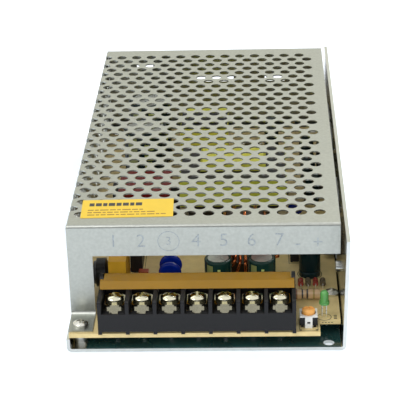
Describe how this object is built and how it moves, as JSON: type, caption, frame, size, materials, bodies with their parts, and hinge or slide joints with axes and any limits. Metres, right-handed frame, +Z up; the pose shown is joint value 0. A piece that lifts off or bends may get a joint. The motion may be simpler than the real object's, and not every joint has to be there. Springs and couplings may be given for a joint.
{
  "type": "switching power supply",
  "caption": "Open-front switching power supply in a folded aluminium chassis with a perforated steel cover, a terminal block under an amber flip lid, a trimmer and a green lamp.",
  "frame": {"origin": "middle of the case footprint, at the underside of the chassis", "axes": "+X to the tall chassis wall, -Y to the terminal end, +Z up"},
  "size_m": [0.099, 0.199, 0.0421],
  "materials": {
    "chassis_aluminium": "mill finish sheet",
    "film_dark": "glossy film",
    "plated_steel": "nickel plated",
    "board_tan": "paper laminate",
    "cover_zinc": "zinc coated sheet",
    "sticker_yellow": "printed film",
    "bright_screw": "bright plated",
    "black_plastic": "moulded",
    "bright_tin": "tinned",
    "amber_plastic": "translucent moulding",
    "pale_plastic": "moulded",
    "orange_plastic": "moulded",
    "green_lens": "translucent lens",
    "black_coating": "dipped coating",
    "amber_box": "moulded box",
    "black_epoxy": "moulded epoxy",
    "blue_coating": "dipped coating",
    "brick_red": "dipped coating",
    "ferrite": "sintered",
    "maroon_winding": "enamelled wire",
    "dark_sleeve": "shrink sleeve",
    "can_metal": "stamped can",
    "yellow_tape": "polyester tape",
    "dark_bobbin": "moulded",
    "olive_tape": "polyester tape",
    "powder_core": "painted powder core",
    "enamelled_copper": "enamelled wire",
    "teal_sleeve": "shrink sleeve",
    "resistor_tan": "lacquered",
    "diode_glass": "glass body",
    "pale_pad": "silicone pad",
    "lime_tape": "polyester tape",
    "lime_box": "dipped box"
  },
  "bodies": {
    "case": {"chassis": "chassis_aluminium", "insulating_film": "film_dark", "standoffs": "plated_steel", "circuit_board": "board_tan", "cover": "cover_zinc", "sticker": "sticker_yellow", "board_screws": "bright_screw", "rear_screws": "bright_screw", "terminal_block": "black_plastic", "terminal_plates": "bright_tin", "clamp_washers": "bright_screw", "terminal_screws": "bright_screw", "trimmer_body": "black_plastic", "trimmer_frame": "pale_plastic", "lamp": "green_lens", "thermistor": "black_coating", "line_capacitor": "amber_box", "bridge_rectifier": "black_epoxy", "disc_capacitors": "blue_coating", "film_capacitor": "brick_red", "line_choke_core": "ferrite", "line_choke_winding": "maroon_winding", "bulk_capacitors": "dark_sleeve", "bulk_capacitor_tops": "can_metal", "driver_core": "ferrite", "driver_winding": "dark_bobbin", "driver_bobbin": "dark_bobbin", "driver_core_tape": "lime_tape", "coupling_capacitor": "lime_box", "small_capacitors": "dark_sleeve", "main_core": "ferrite", "main_winding": "yellow_tape", "main_bobbin": "dark_bobbin", "main_core_tape": "olive_tape", "choke_ring": "powder_core", "choke_winding": "enamelled_copper", "output_capacitors": "teal_sleeve", "output_capacitor_tops": "can_metal", "standing_capacitor": "dark_sleeve", "power_resistor": "resistor_tan", "small_resistors": "resistor_tan", "small_diodes": "diode_glass", "control_chip": "black_epoxy", "power_transistors": "black_epoxy", "output_rectifier": "black_epoxy", "insulating_pads": "pale_pad", "wall_screws": "bright_screw", "component_leads": "bright_tin", "solder_points": "bright_tin", "blue_disc": "blue_coating"},
    "lid": {"flip_lid": "amber_plastic"},
    "knob": {"trimmer_knob": "orange_plastic"}
  },
  "joints": [
    {"name": "lid_hinge", "type": "hinge", "parent": "case", "child": "lid", "pos_m": [-0.00354, -0.083, 0.0194], "axis": [-1, 0, 0], "range_deg": [0, 105]},
    {"name": "trimmer_turn", "type": "hinge", "parent": "case", "child": "knob", "pos_m": [0.03551, -0.0925, 0.0115], "axis": [0, 0, 1], "range_deg": [-105, 105]}
  ]
}
